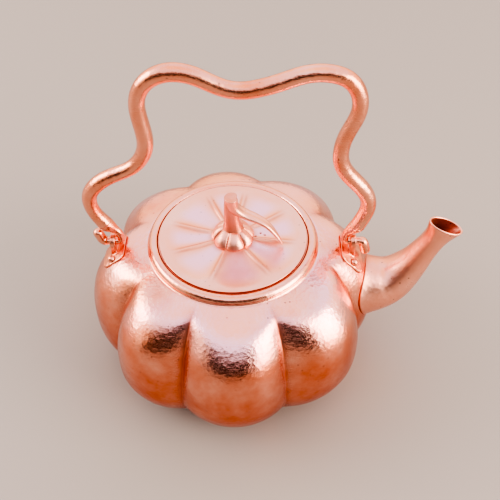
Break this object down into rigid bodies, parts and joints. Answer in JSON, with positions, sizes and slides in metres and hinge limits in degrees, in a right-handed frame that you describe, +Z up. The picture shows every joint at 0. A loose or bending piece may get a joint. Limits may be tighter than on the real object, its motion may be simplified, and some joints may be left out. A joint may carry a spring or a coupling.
{
  "type": "copper kettle",
  "caption": "Melon-lobed copper kettle with a swept spout, a flush embossed lid with a stem knob, and a bent rod bail that swings in eyes on the shoulder.",
  "frame": {"origin": "on the surface the kettle stands on, under the axis of the lobed body", "axes": "+Z up, +X along the spout, the bail swings about a line parallel to X"},
  "size_m": [0.2145, 0.1697, 0.2058],
  "materials": {
    "planished_copper": "polished hand-planished copper with fine scratches",
    "plain_copper": "plain copper sheet, satin",
    "forged_copper": "forged copper, lightly polished",
    "drawn_copper": "drawn and hand-bent copper, polished",
    "embossed_copper": "bright embossed copper"
  },
  "bodies": {
    "root": {"body_shell": "planished_copper", "base_disc": "plain_copper", "mouth_ring": "planished_copper", "lid_seat": "plain_copper", "spout": "planished_copper", "left_ear": "forged_copper", "right_ear": "forged_copper", "ear_rivets": "forged_copper", "rivet_roves": "forged_copper"},
    "bail": {"bail_tube": "drawn_copper", "left_hook": "drawn_copper", "right_hook": "drawn_copper"},
    "lid": {"lid_plate": "embossed_copper", "lid_skirt": "plain_copper", "knob_calyx": "embossed_copper", "knob_stem": "embossed_copper", "knob_tendril": "embossed_copper", "knob_stud": "forged_copper", "knob_washer": "forged_copper"}
  },
  "joints": [
    {"name": "bail_swing", "type": "hinge", "parent": "root", "child": "bail", "pos_m": [0.0685, 0, 0.0883], "axis": [1, 0, 0], "range_deg": [-95, 95]},
    {"name": "lid_lift", "type": "slide", "parent": "root", "child": "lid", "axis": [0, 0, 1], "range_m": [0, 0.045]}
  ]
}
